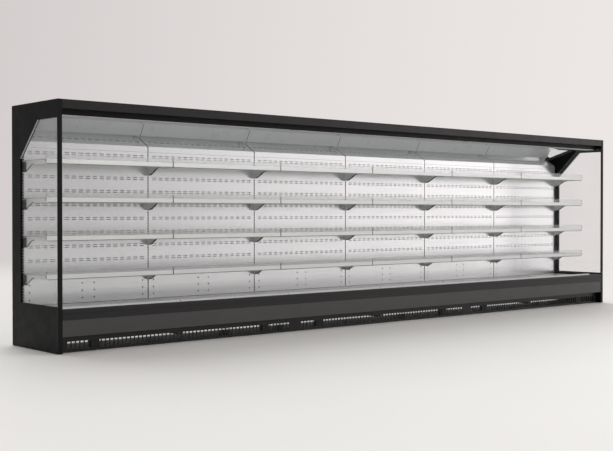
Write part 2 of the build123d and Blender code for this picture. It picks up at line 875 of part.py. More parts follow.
keep("left_end_frame", [left_end_frame()])
keep("right_end_frame", [mirrored_x(left_end_frame())])
keep("end_glass_panes", [left_end_glass(), mirrored_x(left_end_glass())])
keep("end_glass_trims", [left_glass_trim(), mirrored_x(left_glass_trim())])
keep("front_posts", [left_front_post(), mirrored_x(left_front_post())])
keep("rear_insulation", [rear_panel(module) for module in modules])
keep("roof_panels", [roof_panel(module) for module in modules])
keep("base_tubs", [base_tub(module) for module in modules])
keep("canopy_fascia", [fascia(module) for module in modules])
keep("canopy_valance", [valance(module) for module in modules])
keep("light_bars", [light_bar(module) for module in modules])
keep("air_honeycomb", [honeycomb(bay) for bay in bays])
keep("mirror_panels", [mirror_panel(bay) for bay in bays])
keep("control_box", [control_box()])
keep("uprights", [upright(index) for index in range(bay_count + 1)])
keep("back_panels", [back_panel(bay) for bay in bays])
keep("lower_back_panels", [lower_back_panel(bay) for bay in bays])
keep("deck_supports", [deck_support(index) for index in range(bay_count + 1)])
keep("bumper_rails", [bumper_rail(module) for module in modules])
keep("front_panels", [front_panel(module) for module in modules])
keep("return_air_grilles", [return_grille(module) for module in modules])
keep("chassis_frame", [solid for module in modules for solid in chassis_rails(module)])
keep("legs", [leg(x, depth) for x, depth in leg_centres()])
keep("levelling_feet", [levelling_foot(x, depth) for x, depth in leg_centres()])
keep("fan_plates", [fan_plate(bay) for bay in bays])
keep("fan_motors", [fan_motor(bay) for bay in bays])
keep("evaporator_coils", [evaporator_coil(module) for module in modules])
keep("refrigerant_lines", refrigerant_lines())
keep("drain_pipes", [piece for module in modules for piece in drain_pipes(module)])

for bay in bays:
    keep(f"fan_rotor_{bay + 1}", [fan_rotor(bay)])
    keep(f"deck_tray_{bay + 1}", [deck_tray(bay)])
for module in modules:
    keep(f"kick_plate_{module + 1}", [kick_plate(module)])
for level in levels:
    left_cover = end_bracket_cover(level)
    keep(f"level_{level}_shelf_boards", [shelf_board(level, bay) for bay in bays])
    keep(f"level_{level}_brackets",
         [bracket(level, x) for bay in bays for x in bracket_places(bay)]
         + [left_cover, mirrored_x(left_cover)])
    keep(f"level_{level}_price_rails", [price_rail(level, bay) for bay in bays])
    keep(f"level_{level}_risers", [riser(level, bay) for bay in bays])
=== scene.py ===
import json
import math

import bmesh
import bpy
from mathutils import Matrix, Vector


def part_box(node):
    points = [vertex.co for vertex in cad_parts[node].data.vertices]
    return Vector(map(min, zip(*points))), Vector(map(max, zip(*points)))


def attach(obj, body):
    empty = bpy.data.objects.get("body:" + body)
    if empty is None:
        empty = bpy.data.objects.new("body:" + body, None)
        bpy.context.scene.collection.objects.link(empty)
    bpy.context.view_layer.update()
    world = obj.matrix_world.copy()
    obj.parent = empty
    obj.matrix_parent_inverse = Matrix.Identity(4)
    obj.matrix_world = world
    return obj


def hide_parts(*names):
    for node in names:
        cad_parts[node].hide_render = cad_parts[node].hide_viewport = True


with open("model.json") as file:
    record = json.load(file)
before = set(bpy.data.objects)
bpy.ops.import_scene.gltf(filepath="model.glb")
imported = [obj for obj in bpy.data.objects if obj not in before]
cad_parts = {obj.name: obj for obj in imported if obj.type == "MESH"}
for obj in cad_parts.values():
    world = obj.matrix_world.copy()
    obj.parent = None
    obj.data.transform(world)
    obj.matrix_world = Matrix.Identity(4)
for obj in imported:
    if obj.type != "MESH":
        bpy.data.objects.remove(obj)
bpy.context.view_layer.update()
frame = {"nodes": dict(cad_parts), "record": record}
nodes = frame["nodes"]

# Sizes in metres. X runs along the front, Y from front to rear, Z up, and the origin is on the floor
# under the middle of the line-up.
BAYS = 6
BAY = 1.25
INNER_END = BAYS * BAY / 2
LEVELS = (1, 2, 3, 4)

# the front of the wall's sheet, and its thickness; the uprights' faces lie against its back
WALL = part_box("back_panels")[0].y
WALL_GAUGE = 0.003


def bay_line(index):
    return -INNER_END + index * BAY


def bay_middle(index):
    return bay_line(index) + BAY / 2


# ---- finishes ----

# Sizes that the finishes draw, in metres. An edge is the width over which one tone turns into the next.
EDGE = 0.0005

# joints and screws of the outer sheets
SHEET_JOINT = 0.002
SCREW_EDGE = 0.022
SCREW_PITCH = 0.28
SCREW_START = 0.10
SCREW_RADIUS = 0.0055

# painted shade on the rear sheet's inner face behind the lower back panels, and the fold of the upper ones
REAR_INNER_FACE = 0.3555
PAINTED_SHADE_TOP = 0.58
FOLD_LINE = 1.697
FOLD = 0.002

# slots of the uprights: the height of one's middle and their pitch, and half the height and width of the
# painted shade marks around them
SLOT_MIDDLE = 0.4125
SLOT_PITCH = 0.025
SLOT_SHADE_HALF = 0.0068
SLOT_SHADE_REACH = 0.009

# shelves, with the black covers of the end brackets, and the coils
BOARD_JOINT = 0.003
RAIL_CAP = 0.005
RAIL_FOOT_SHADE = 0.006
RISER_EDGE = 0.006
COVER_DEPTH = 0.007
FIN_PITCH = 0.005


def linear(value):
    """A display value from 0 to 255 as the linear value that shaders take."""
    share = value / 255
    return share / 12.92 if share <= 0.04045 else ((share + 0.055) / 1.055) ** 2.4


def colour(red, green, blue):
    return (linear(red), linear(green), linear(blue), 1.0)


def new_finish(name, base, roughness, metallic=0.0, **sockets):
    """A Principled finish; further sockets are given by name with underscores for spaces."""
    material = bpy.data.materials.new(name)
    material.use_nodes = True
    shader = material.node_tree.nodes["Principled BSDF"]
    shader.inputs["Base Color"].default_value = base
    shader.inputs["Roughness"].default_value = roughness
    shader.inputs["Metallic"].default_value = metallic
    for socket, value in sockets.items():
        shader.inputs[socket.replace("_", " ")].default_value = value
    return material


def shader_of(material):
    return material.node_tree.nodes["Principled BSDF"]


def place_of(material, stretch=(1, 1, 1)):
    """The piece's own coordinates in metres, multiplied by a stretch along each axis."""
    tree = material.node_tree
    place = tree.nodes.new("ShaderNodeTexCoord")
    mapping = tree.nodes.new("ShaderNodeMapping")
    mapping.inputs["Scale"].default_value = stretch
    tree.links.new(place.outputs["Object"], mapping.inputs["Vector"])
    return mapping.outputs["Vector"]


def place_axis(material, axis):
    """One of the piece's own coordinates in metres."""
    tree = material.node_tree
    split = tree.nodes.new("ShaderNodeSeparateXYZ")
    tree.links.new(place_of(material), split.inputs["Vector"])
    return split.outputs[axis]


def grain(material, cycles, stretch=(1, 1, 1), detail=2.0):
    """Noise with a number of cycles a metre."""
    tree = material.node_tree
    noise = tree.nodes.new("ShaderNodeTexNoise")
    noise.inputs["Scale"].default_value = cycles
    noise.inputs["Detail"].default_value = detail
    tree.links.new(place_of(material, stretch), noise.inputs["Vector"])
    return noise.outputs["Fac"]


def worked(tree, operation, first, second=None):
    """What a maths node makes of an output and, where it takes two, of a number or another output."""
    node = tree.nodes.new("ShaderNodeMath")
    node.operation = operation
    tree.links.new(first, node.inputs[0])
    if isinstance(second, float):
        node.inputs[1].default_value = second
    elif second is not None:
        tree.links.new(second, node.inputs[1])
    return node.outputs["Value"]


def map_range(tree, value, low_in, high_in, low_out, high_out):
    """Values from low_in to high_in, turned into values from low_out to high_out."""
    node = tree.nodes.new("ShaderNodeMapRange")
    for socket, number in zip(("From Min", "From Max", "To Min", "To Max"),
                              (low_in, high_in, low_out, high_out)):
        node.inputs[socket].default_value = number
    tree.links.new(value, node.inputs["Value"])
    return node.outputs["Result"]


def smooth_range(tree, value, low_in, high_in, low_out, high_out):
    result = map_range(tree, value, low_in, high_in, low_out, high_out)
    result.node.interpolation_type = "SMOOTHSTEP"
    return result


def ramp(material, pattern, low_in, high_in, low_out, high_out):
    return map_range(material.node_tree, pattern, low_in, high_in, low_out, high_out)


def near_bay_line(material, reach):
    """One within reach of a line between two bays, zero elsewhere."""
    tree = material.node_tree
    from_end = worked(tree, "ADD", place_axis(material, "X"), INNER_END)
    return worked(tree, "LESS_THAN", worked(tree, "PINGPONG", from_end, BAY / 2), reach)


def colour_mix(tree, factor, low, high):
    """A mix node between two colours."""
    mix = tree.nodes.new("ShaderNodeMix")
    mix.data_type = "RGBA"
    mix.inputs["A"].default_value = low
    mix.inputs["B"].default_value = high
    tree.links.new(factor, mix.inputs["Factor"])
    return mix


def shade(material, pattern, dark, light):
    """Base colour between dark and light, by a pattern."""
    mix = colour_mix(material.node_tree, pattern, dark, light)
    material.node_tree.links.new(mix.outputs["Result"], shader_of(material).inputs["Base Color"])


def mark(material, mask, tone):
    """Another base colour where a mask is one, over a base colour that is already shaded."""
    tree = material.node_tree
    base = shader_of(material).inputs["Base Color"]
    mix = colour_mix(tree, mask, tone, tone)
    tree.links.new(base.links[0].from_socket, mix.inputs["A"])
    tree.links.new(mix.outputs["Result"], base)


def gloss(material, pattern, low, high):
    """Roughness between low and high, by the middle of a pattern's values."""
    result = ramp(material, pattern, 0.3, 0.7, low, high)
    material.node_tree.links.new(result, shader_of(material).inputs["Roughness"])


def relief(material, pattern, height):
    """Bump of a height in metres, over any bump that is already there."""
    tree = material.node_tree
    bump = tree.nodes.new("ShaderNodeBump")
    bump.inputs["Distance"].default_value = height
    bump.inputs["Strength"].default_value = 1.0
    tree.links.new(pattern, bump.inputs["Height"])
    normal = shader_of(material).inputs["Normal"]
    if normal.is_linked:
        tree.links.new(normal.links[0].from_socket, bump.inputs["Normal"])
    tree.links.new(bump.outputs["Normal"], normal)


def powder_coat(name, dark, light, roughness, sheen=0.5):
    """Sprayed and baked paint: a fine orange peel and a slightly uneven tone."""
    material = new_finish(name, light, roughness, Specular_IOR_Level=sheen)
    shade(material, grain(material, 2.3, detail=3.0), dark, light)
    gloss(material, grain(material, 11.0), roughness - 0.04, roughness + 0.05)
    relief(material, grain(material, 620.0), 0.00006)
    return material


def shelf_paint():
    """White paint, with the shadow line of the joints between boards."""
    material = powder_coat("shelf_paint", colour(208, 210, 209), colour(217, 219, 218), 0.30)
    mark(material, near_bay_line(material, BOARD_JOINT), colour(64, 65, 65))
    return material


def screw_heads(material, axis):
    """One on round heads beside each bay line, in rows along another axis."""
    tree = material.node_tree

    def folded(along, pitch, shift):
        moved = worked(tree, "ADD", place_axis(material, along), shift)
        return worked(tree, "PINGPONG", moved, pitch / 2)

    both = tree.nodes.new("ShaderNodeCombineXYZ")
    across = worked(tree, "SUBTRACT", folded("X", BAY, INNER_END), SCREW_EDGE)
    tree.links.new(across, both.inputs["X"])
    tree.links.new(folded(axis, SCREW_PITCH, SCREW_START), both.inputs["Y"])
    length = tree.nodes.new("ShaderNodeVectorMath")
    length.operation = "LENGTH"
    tree.links.new(both.outputs["Vector"], length.inputs[0])
    return ramp(material, length.outputs["Value"], SCREW_RADIUS - EDGE, SCREW_RADIUS, 1.0, 0.0)


def outer_sheet(name, axis):
    """Coated sheet in widths of one bay, screwed down beside each joint."""
    material = powder_coat(name, colour(176, 178, 178), colour(188, 190, 190), 0.45)
    relief(material, grain(material, 1.7, stretch=(1, 1, 0.35)), 0.0012)
    heads = screw_heads(material, axis)
    mark(material, near_bay_line(material, SHEET_JOINT), colour(70, 71, 72))
    mark(material, heads, colour(120, 122, 124))
    relief(material, heads, 0.0015)
    return material


def rear_sheet():
    """Outer sheet, with painted shade on its inner face behind the lower back panels."""
    material = outer_sheet("rear_sheet", "Z")
    inner = ramp(material, place_axis(material, "Y"), REAR_INNER_FACE, REAR_INNER_FACE + EDGE, 1.0, 0.0)
    low = ramp(material, place_axis(material, "Z"), PAINTED_SHADE_TOP - EDGE, PAINTED_SHADE_TOP, 1.0, 0.0)
    painted_shade = worked(material.node_tree, "MULTIPLY", inner, low)
    # painted shade: the inner face behind the lower back panels is dark, for the shade seen through their
    # holes
    mark(material, painted_shade, colour(18, 18, 19))
    return material


def wall_sheet(name):
    """Silver-white coated steel of the back wall, smooth enough to mirror what stands close to it."""
    material = new_finish(name, colour(232, 231, 231), 0.24, metallic=0.75)
    shade(material, grain(material, 1.4, stretch=(1, 1, 0.3)), colour(224, 226, 228), colour(233, 235, 237))
    gloss(material, grain(material, 60.0, stretch=(0.04, 1, 1)), 0.21, 0.27)
    relief(material, grain(material, 1.1), 0.0006)
    return material


def folded_wall_sheet():
    """The wall sheet, with painted shade inside its holes and a fold line below its plain top strip."""
    material = wall_sheet("wall_paint")
    height = place_axis(material, "Z")
    above = ramp(material, height, FOLD_LINE - FOLD, FOLD_LINE, 0.0, 1.0)
    below = ramp(material, height, FOLD_LINE, FOLD_LINE + FOLD, 1.0, 0.0)
    line = worked(material.node_tree, "MULTIPLY", above, below)
    mark(material, line, colour(128, 128, 128))
    # painted shade on the faces behind the sheet's front, the walls of its holes
    behind = ramp(material, place_axis(material, "Y"), WALL + EDGE / 2, WALL + EDGE, 0.0, 1.0)
    mark(material, behind, colour(52, 52, 52))
    return material


def upright_steel():
    """Wall finish, with painted shade inside an upright's slots and in marks on its face at the slots'
    pitch.
    """
    material = wall_sheet("upright_steel")
    tree = material.node_tree
    from_slot = worked(tree, "SUBTRACT", place_axis(material, "Z"), SLOT_MIDDLE)
    nearest = worked(tree, "PINGPONG", from_slot, SLOT_PITCH / 2)
    rows = ramp(material, nearest, SLOT_SHADE_HALF, SLOT_SHADE_HALF + EDGE, 1.0, 0.0)
    shade_around_slots = worked(tree, "MULTIPLY", rows, near_bay_line(material, SLOT_SHADE_REACH))
    face = WALL + WALL_GAUGE
    shade_inside_slots = ramp(material, place_axis(material, "Y"), face, face + EDGE, 0.0, 1.0)
    mark(material, grain(material, 30.0), colour(218, 219, 220))
    # painted shade: dark and rough inside the slots and in the marks around them
    dark = worked(tree, "MAXIMUM", shade_inside_slots, shade_around_slots)
    mark(material, dark, colour(10, 10, 11))
    rough = ramp(material, dark, 0.0, 1.0, 0.24, 0.9)
    tree.links.new(rough, shader_of(material).inputs["Roughness"])
    return material


def mirror_steel():
    """Polished sheet, with a faint grain along the front."""
    material = new_finish("mirror_steel", colour(240, 241, 242), 0.03, metallic=1.0)
    streaks = grain(material, 26.0, stretch=(0.03, 1, 1))
    shade(material, streaks, colour(238, 239, 240), colour(243, 244, 245))
    gloss(material, grain(material, 240.0, stretch=(0.01, 1, 1)), 0.02, 0.045)
    return material


def bumper_plastic():
    """Extruded profile, with faint draw lines along its length."""
    material = new_finish("bumper_plastic", colour(36, 36, 37), 0.38, Specular_IOR_Level=0.25)
    shade(material, grain(material, 3.0), colour(33, 33, 34), colour(39, 39, 40))
    gloss(material, grain(material, 300.0, stretch=(0.004, 1, 1)), 0.34, 0.44)
    relief(material, grain(material, 420.0, stretch=(0.003, 1, 1)), 0.00008)
    return material


def ripple(material, pitch):
    """Zero to one and back over each pitch along X."""
    wave = worked(material.node_tree, "PINGPONG", place_axis(material, "X"), pitch / 2)
    return ramp(material, wave, 0.0, pitch / 2, 0.0, 1.0)


def rail_plastic(name, foot):
    """White rail with a dark cap on each end and a band of painted shade along its foot."""
    material = new_finish(name, colour(226, 229, 228), 0.35)
    shade(material, grain(material, 4.0), colour(222, 225, 224), colour(230, 233, 232))
    # painted shade: a grey band along the rail's foot, for the shade just beneath the rail
    foot_shade = ramp(material, place_axis(material, "Z"), foot + RAIL_FOOT_SHADE, foot + RAIL_FOOT_SHADE + EDGE, 1.0, 0.0)
    mark(material, foot_shade, colour(120, 122, 122))
    mark(material, near_bay_line(material, RAIL_CAP), colour(74, 75, 75))
    gloss(material, grain(material, 260.0, stretch=(0.01, 1, 1)), 0.3, 0.4)
    relief(material, grain(material, 380.0, stretch=(0.004, 1, 1)), 0.00006)
    return material


def moulded_plastic(name, dark, light):
    """Moulded plastic with a fine spark-eroded grain."""
    material = new_finish(name, light, 0.5)
    shade(material, grain(material, 24.0), dark, light)
    gloss(material, grain(material, 90.0), 0.45, 0.57)
    relief(material, grain(material, 1400.0, detail=1.0), 0.00005)
    return material


def galvanised_steel():
    """Zinc spangle in two sizes of crystal."""
    material = new_finish("galvanised_steel", colour(172, 175, 177), 0.4, metallic=0.85)
    tree = material.node_tree
    crystals = tree.nodes.new("ShaderNodeTexVoronoi")
    crystals.inputs["Scale"].default_value = 90.0
    tree.links.new(place_of(material), crystals.inputs["Vector"])
    split = tree.nodes.new("ShaderNodeSeparateColor")
    tree.links.new(crystals.outputs["Color"], split.inputs["Color"])
    shade(material, split.outputs["Red"], colour(158, 162, 165), colour(186, 189, 191))
    gloss(material, split.outputs["Green"], 0.34, 0.5)
    relief(material, grain(material, 500.0), 0.00004)
    return material


def drawn_copper():
    """Copper pipe, unevenly tarnished."""
    material = new_finish("drawn_copper", colour(184, 115, 82), 0.32, metallic=1.0)
    shade(material, grain(material, 14.0, detail=4.0), colour(150, 88, 62), colour(196, 128, 94))
    gloss(material, grain(material, 40.0), 0.26, 0.42)
    return material


def finned_aluminium():
    """Aluminium with painted shade in the gap between each fin and the next."""
    material = new_finish("finned_aluminium", colour(196, 199, 201), 0.42, metallic=0.9)
    shade(material, grain(material, 60.0), colour(180, 184, 187), colour(204, 207, 209))
    # painted shade in the gaps between the fins
    fin_gap_shade = ramp(material, ripple(material, FIN_PITCH), 0.0, 0.45, 1.0, 0.0)
    mark(material, fin_gap_shade, colour(52, 54, 56))
    gloss(material, grain(material, 200.0), 0.36, 0.5)
    return material


def satin_aluminium():
    """Brushed trim."""
    material = new_finish("satin_aluminium", colour(226, 227, 228), 0.3, metallic=0.9)
    shade(material, grain(material, 30.0), colour(218, 219, 220), colour(232, 233, 233))
    gloss(material, grain(material, 500.0, stretch=(1, 0.02, 0.02)), 0.25, 0.36)
    return material


def clear_pane():
    """Low-iron safety glass, nearly clear."""
    material = new_finish("clear_pane", colour(220, 225, 224), 0.03, Alpha=0.10, IOR=1.52)
    shade(material, grain(material, 2.0), colour(217, 222, 221), colour(223, 228, 227))
    gloss(material, grain(material, 5.0, detail=3.0), 0.02, 0.05)
    return material


def clear_acrylic():
    """Clear plastic that is dark where its end is seen."""
    material = new_finish("clear_acrylic", colour(196, 199, 199), 0.12, Alpha=0.18, IOR=1.49)
    shade(material, grain(material, 6.0), colour(190, 193, 193), colour(202, 205, 205))
    edge = near_bay_line(material, RISER_EDGE)
    mark(material, edge, colour(70, 72, 72))
    clear = ramp(material, edge, 0.0, 1.0, 0.18, 0.85)
    material.node_tree.links.new(clear, shader_of(material).inputs["Alpha"])
    gloss(material, grain(material, 30.0, detail=3.0), 0.08, 0.18)
    return material


def lamp_diffuser():
    """Milky cover, lightly ribbed along its length."""
    material = new_finish("lamp_diffuser", colour(226, 228, 228), 0.5, Subsurface_Weight=0.2)
    shade(material, grain(material, 12.0), colour(220, 222, 222), colour(230, 232, 232))
    relief(material, grain(material, 500.0, stretch=(0.02, 1, 1)), 0.0001)
    return material


def bracket_paint():
    """Shelf paint, black on the covers that stand outside the end brackets' roots."""
    material = powder_coat("bracket_paint", colour(226, 228, 227), colour(234, 236, 235), 0.4)
    tree = material.node_tree
    from_middle = worked(tree, "ABSOLUTE", place_axis(material, "X"))
    outside = worked(tree, "GREATER_THAN", from_middle, INNER_END - COVER_DEPTH)
    mark(material, outside, colour(26, 26, 27))
    return material


finishes = {
    "black_paint": powder_coat("black_paint", colour(20, 20, 21), colour(25, 25, 26), 0.40, 0.32),
    "clear_glass": clear_pane(),
    "bright_trim": satin_aluminium(),
    "outer_sheet": outer_sheet("outer_sheet", "Y"),
    "tub_liner": moulded_plastic("tub_liner", colour(186, 188, 189), colour(196, 198, 199)),
    "galvanised_steel": galvanised_steel(),
    "black_plastic": moulded_plastic("black_plastic", colour(34, 34, 35), colour(42, 42, 43)),
    "mirror_steel": mirror_steel(),
    "lamp_diffuser": lamp_diffuser(),
    "honeycomb_plastic": moulded_plastic("honeycomb_plastic", colour(186, 187, 187), colour(196, 197, 197)),
    "wall_paint": folded_wall_sheet(),
    "grille_plastic": moulded_plastic("grille_plastic", colour(30, 30, 31), colour(38, 38, 39)),
    "coil_aluminium": finned_aluminium(),
    "bumper_plastic": bumper_plastic(),
    "anthracite_paint": powder_coat("anthracite_paint", colour(66, 65, 65), colour(73, 72, 72), 0.42, 0.32),
    "copper_pipe": drawn_copper(),
    "drain_plastic": moulded_plastic("drain_plastic", colour(128, 130, 131), colour(140, 142, 143)),
    "grey_plastic": moulded_plastic("grey_plastic", colour(150, 152, 153), colour(162, 164, 165)),
    "fan_plastic": moulded_plastic("fan_plastic", colour(44, 44, 46), colour(54, 54, 56)),
    "shelf_paint": shelf_paint(),
    "clear_acrylic": clear_acrylic(),
}
brackets = bracket_paint()
# painted shade: the end frames, valance and front posts carry the same black paint as the rest, here in
# darker tones with less sheen for the shade that falls on them
shaded_end_paint = powder_coat("shaded_end_paint", colour(6, 6, 7), colour(9, 9, 10), 0.46, 0.13)
shaded_valance_paint = powder_coat("shaded_valance_paint", colour(9, 9, 10), colour(13, 13, 14), 0.46, 0.16)
shaded_post_paint = powder_coat("shaded_post_paint", colour(16, 16, 17), colour(20, 20, 21), 0.42, 0.16)


def wear(piece, material):
    """Give a piece its finish, in place of any other."""
    piece.data.materials.clear()
    piece.data.materials.append(material)


# the price rails' own slot has no entry above, since each level's rails get their own finish below
for part in frame["record"]["subparts"]:
    if part["material_slot"] in finishes:
        wear(nodes[part["node"]], finishes[part["material_slot"]])
for level in LEVELS:
    wear(nodes[f"level_{level}_brackets"], brackets)
    rail = f"level_{level}_price_rails"
    wear(nodes[rail], rail_plastic(rail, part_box(rail)[0].z))
wear(nodes["uprights"], upright_steel())
wear(nodes["rear_insulation"], rear_sheet())
# the darker copies of the black paint, painted shade, on the end frames, front posts and valance
for side in ("left", "right"):
    wear(nodes[f"{side}_end_frame"], shaded_end_paint)
wear(nodes["front_posts"], shaded_post_paint)
wear(nodes["canopy_valance"], shaded_valance_paint)


# ---- repeats, made by geometry nodes ----

def new_tree(name, inputs):
    """An empty geometry node tree with named inputs after its geometry input."""
    tree = bpy.data.node_groups.new(name, "GeometryNodeTree")
    tree.is_modifier = True
    tree.interface.new_socket("Geometry", in_out="INPUT", socket_type="NodeSocketGeometry")
    for label, kind in inputs:
        tree.interface.new_socket(label, in_out="INPUT", socket_type=kind)
    tree.interface.new_socket("Geometry", in_out="OUTPUT", socket_type="NodeSocketGeometry")
    return tree


def line_of(tree, count, step):
    """Points in a row: a count, and the step from each to the next."""
    line = tree.nodes.new("GeometryNodeMeshLine")
    line.mode = "OFFSET"
    tree.links.new(count, line.inputs["Count"])
    tree.links.new(step, line.inputs["Offset"])
    return line.outputs["Mesh"]


def copies_on(tree, points, shape):
    """An instance of a shape on each point."""
    place = tree.nodes.new("GeometryNodeInstanceOnPoints")
    tree.links.new(points, place.inputs["Points"])
    tree.links.new(shape, place.inputs["Instance"])
    return place.outputs["Instances"]


def realised(tree, shape):
    realise = tree.nodes.new("GeometryNodeRealizeInstances")
    tree.links.new(shape, realise.inputs["Geometry"])
    return realise.outputs["Geometry"]


def finish_tree(tree, shape, finish):
    """End a tree with Realize Instances and Set Material."""
    paint = tree.nodes.new("GeometryNodeSetMaterial")
    tree.links.new(realised(tree, shape), paint.inputs["Geometry"])
    tree.links.new(finish, paint.inputs["Material"])
    tree.links.new(paint.outputs["Geometry"], tree.nodes.new("NodeGroupOutput").inputs["Geometry"])


PIERCED_INPUTS = [("Columns", "NodeSocketInt"), ("Column Step", "NodeSocketVector"),
                  ("Rows", "NodeSocketInt"), ("Row Step", "NodeSocketVector"),
                  ("Finish", "NodeSocketMaterial"), ("Sheet Size", "NodeSocketVector"),
                  ("Sheet Middle", "NodeSocketVector")]


def pierced_tree():
    """A sheet with rows and columns of holes, each cut by a copy of the piece itself."""
    tree = new_tree("pierced_sheet", PIERCED_INPUTS)
    given = tree.nodes.new("NodeGroupInput").outputs
    row = copies_on(tree, line_of(tree, given["Columns"], given["Column Step"]), given["Geometry"])
    block = copies_on(tree, line_of(tree, given["Rows"], given["Row Step"]), row)
    sheet = tree.nodes.new("GeometryNodeMeshCube")
    tree.links.new(given["Sheet Size"], sheet.inputs["Size"])
    put = tree.nodes.new("GeometryNodeTransform")
    tree.links.new(sheet.outputs["Mesh"], put.inputs["Geometry"])
    tree.links.new(given["Sheet Middle"], put.inputs["Translation"])
    cut = tree.nodes.new("GeometryNodeMeshBoolean")
    cut.operation = "DIFFERENCE"
    cut.solver = "MANIFOLD"
    tree.links.new(put.outputs["Geometry"], cut.inputs["Mesh 1"])
    tree.links.new(realised(tree, block), cut.inputs["Mesh 2"])
    finish_tree(tree, cut.outputs["Mesh"], given["Finish"])
    return tree


def run_tree(name, tree, mesh, values):
    """Run a tree on a mesh and keep what it makes as a plain mesh piece."""
    seed = bpy.data.objects.new(name + "_seed", mesh)
    bpy.context.scene.collection.objects.link(seed)
    modifier = seed.modifiers.new("shape", "NODES")
    modifier.node_group = tree
    for item in tree.interface.items_tree:
        if item.in_out == "INPUT" and item.name in values:
            modifier[item.identifier] = values[item.name]
    bpy.context.view_layer.update()
    shape = bpy.data.meshes.new_from_object(seed.evaluated_get(bpy.context.evaluated_depsgraph_get()))
    bpy.data.objects.remove(seed)
    return piece_of(name, shape)


def piece_of(name, mesh):
    """An object at the origin, with a mesh of its own name."""
    piece = bpy.data.objects.new(name, mesh)
    mesh.name = name
    bpy.context.scene.collection.objects.link(piece)
    return piece


def dress(piece, body, replaced=()):
    """Say what a piece rides on and which carried-over pieces it stands for."""
    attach(piece, body)
    if replaced:
        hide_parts(*replaced)
    return piece


pierced_sheet = pierced_tree()


def mesh_of(name, build):
    """A mesh from a function that fills a bmesh."""
    shape = bmesh.new()
    build(shape)
    bmesh.ops.recalc_face_normals(shape, faces=shape.faces)
    mesh = bpy.data.meshes.new(name)
    shape.to_mesh(mesh)
    shape.free()
    return mesh


def prism(shape, outline, start, end):
    """Closed prism between an outline's points moved by start and by end."""
    low = [shape.verts.new(Vector(point) + Vector(start)) for point in outline]
    high = [shape.verts.new(Vector(point) + Vector(end)) for point in outline]
    shape.faces.new(low)
    shape.faces.new(high[::-1])
    for index in range(len(outline)):
        after = (index + 1) % len(outline)
        shape.faces.new((low[index], low[after], high[after], high[index]))


SLOT_END_STEPS = 4


def slot_outline(middle_x, middle_z, length, height):
    """Outline of a level slot with round ends, in the plane of the wall."""
    radius = height / 2
    half = length / 2 - radius
    points = []
    for side in (1, -1):
        for step in range(SLOT_END_STEPS + 1):
            turn = math.pi * (step / SLOT_END_STEPS - 0.5)
            points.append((middle_x + side * (half + radius * math.cos(turn)), 0,
                           middle_z + side * radius * math.sin(turn)))
    return points


# ---- back wall ----

LOWEST_AIR_ROW = 0.722
AIR_ROW_STEP = 0.1215
TOP_AIR_ROW = 1.655
AIR_ROWS_BELOW_TOP = 7
AIR_ROWS = [LOWEST_AIR_ROW + AIR_ROW_STEP * row for row in range(AIR_ROWS_BELOW_TOP)] + [TOP_AIR_ROW]
AIR_SLOT = 0.046
AIR_SLOT_HEIGHT = 0.0054
AIR_PAIR = 0.0175
AIR_PITCH = 0.0695
PANEL_GAP = 0.006
END_COVER = 0.006


def wall_panel(bay):
    """The slotted sheet between two uprights, with its slots in pairs."""
    low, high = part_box("back_panels")
    left = bay_line(bay) + PANEL_GAP + (END_COVER if bay == 0 else 0)
    right = bay_line(bay + 1) - PANEL_GAP - (END_COVER if bay == BAYS - 1 else 0)
    columns = int((right - left - AIR_SLOT) // AIR_PITCH)
    first = bay_middle(bay) - (columns - 1) / 2 * AIR_PITCH

    def cutters(shape):
        for row in AIR_ROWS:
            for side in (-0.5, 0.5):
                outline = slot_outline(first, row + side * AIR_PAIR, AIR_SLOT, AIR_SLOT_HEIGHT)
                prism(shape, outline, (0, WALL - WALL_GAUGE, 0), (0, WALL + 2 * WALL_GAUGE, 0))

    panel = run_tree(f"perforated_panel_{bay + 1}", pierced_sheet, mesh_of("slot_cutters", cutters), {
        "Columns": columns, "Column Step": (AIR_PITCH, 0, 0), "Rows": 1,
        "Sheet Size": (right - left, WALL_GAUGE, high.z - low.z),
        "Sheet Middle": ((left + right) / 2, WALL + WALL_GAUGE / 2, (low.z + high.z) / 2),
        "Finish": finishes["wall_paint"]})
    return dress(panel, "cabinet", ["back_panels"])


for bay in range(BAYS):
    wall_panel(bay)


# ---- air outlet ----

CELL = 0.014
CELL_WALL = 0.0016
COMB_GAP = 0.0005


def outlet_honeycomb(bay):
    """The air outlet of one bay, a comb of six-sided cells."""
    low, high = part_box("air_honeycomb")
    left, right = bay_line(bay) + COMB_GAP, bay_line(bay + 1) - COMB_GAP
    across = CELL * math.sqrt(3) / 2
    radius = (CELL - CELL_WALL) / math.sqrt(3)
    rows = int((high.y - low.y - CELL) // (2 * across))
    columns = int((right - left - 2 * CELL) // CELL)
    first_x = (left + right) / 2 - (columns - 0.5) / 2 * CELL
    first_y = (low.y + high.y) / 2 - (2 * rows - 1) / 2 * across

    def cutters(shape):
        for column_shift, row_shift in ((0, 0), (CELL / 2, across)):
            outline = [(first_x + column_shift + radius * math.sin(math.pi / 3 * corner),
                        first_y + row_shift + radius * math.cos(math.pi / 3 * corner), 0)
                       for corner in range(6)]
            prism(shape, outline, (0, 0, low.z - CELL_WALL), (0, 0, high.z + CELL_WALL))

    comb = run_tree(f"outlet_honeycomb_{bay + 1}", pierced_sheet, mesh_of("cell_cutters", cutters), {
        "Columns": columns, "Column Step": (CELL, 0, 0), "Rows": rows, "Row Step": (0, 2 * across, 0),
        "Sheet Size": (right - left, high.y - low.y, high.z - low.z),
        "Sheet Middle": ((left + right) / 2, (low.y + high.y) / 2, (low.z + high.z) / 2),
        "Finish": finishes["honeycomb_plastic"]})
    return dress(comb, "cabinet", ["air_honeycomb"])


for bay in range(BAYS):
    outlet_honeycomb(bay)


# ---- shelf brackets ----

BRACKET_DEPTH = 0.0955
BRACKET_ROOT = 0.02
EDGE_BAND = 0.007
PROUD = 0.0004


